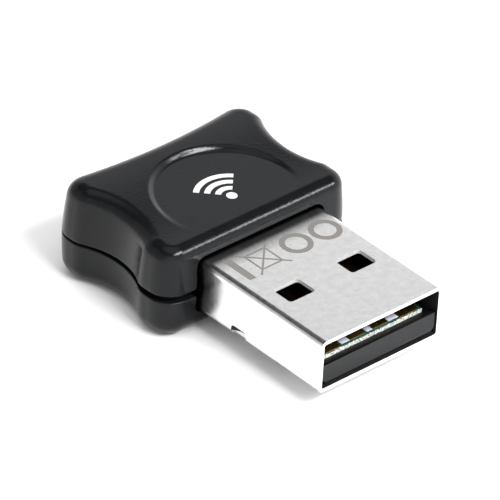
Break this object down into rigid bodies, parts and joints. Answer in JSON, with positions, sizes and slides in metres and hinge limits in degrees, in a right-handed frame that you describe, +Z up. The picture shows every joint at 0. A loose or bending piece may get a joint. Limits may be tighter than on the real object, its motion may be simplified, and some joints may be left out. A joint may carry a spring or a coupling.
{
  "type": "usb wifi adapter",
  "caption": "Stubby wireless network adapter: a waisted two-part black plastic body with a thumb dish, on a full-size metal USB plug.",
  "frame": {"origin": "centre of the whole adapter's footprint, on the plane of its underside; this is also the middle of the body's front face, seen from above", "axes": "+Z up out of the top cover, -Y out of the plug's mouth, X across the plug; the outside is mirror-symmetric about x = 0"},
  "size_m": [0.0186, 0.0262, 0.0082],
  "materials": {
    "black_plastic": "black ABS, satin with a fine moulded grain",
    "nickel_steel": "nickel-plated steel strip, satin",
    "carrier_plastic": "black glass-filled nylon, matt",
    "board_green": "green solder mask over glass-fibre board",
    "contact_gold": "gold plate, bright",
    "white_ink": "white board legend ink",
    "emblem_ink": "pale grey pad print",
    "chip_epoxy": "black moulding epoxy and ferrite",
    "capacitor_ceramic": "brown ceramic with tinned ends",
    "resistor_ceramic": "black glaze with tinned ends",
    "crystal_ceramic": "dark ceramic",
    "crystal_metal": "plated lid, satin",
    "copper": "bare copper track under clear mask",
    "solder_tin": "tin solder and tinned leads, bright"
  },
  "bodies": {
    "root": {"antenna_trace": "copper", "bottom_cover": "black_plastic", "capacitor_1": "capacitor_ceramic", "capacitor_2": "capacitor_ceramic", "capacitor_3": "capacitor_ceramic", "capacitor_4": "capacitor_ceramic", "capacitor_5": "capacitor_ceramic", "capacitor_6": "capacitor_ceramic", "circuit_board": "board_green", "contact_carrier": "carrier_plastic", "contact_silkscreen": "white_ink", "crystal_base": "crystal_ceramic", "crystal_lid": "crystal_metal", "data_minus_contact": "contact_gold", "data_plus_contact": "contact_gold", "emblem_print": "emblem_ink", "ground_contact": "contact_gold", "inductor_terminals": "solder_tin", "memory_chip": "chip_epoxy", "memory_chip_pads": "solder_tin", "plug_shell": "nickel_steel", "power_contact": "contact_gold", "power_inductor": "chip_epoxy", "radio_chip": "chip_epoxy", "radio_chip_pads": "solder_tin", "regulator_leads": "solder_tin", "resistor_1": "resistor_ceramic", "resistor_2": "resistor_ceramic", "resistor_3": "resistor_ceramic", "resistor_4": "resistor_ceramic", "shell_solder_joints": "solder_tin", "top_cover": "black_plastic", "voltage_regulator": "chip_epoxy"}
  },
  "joints": []
}
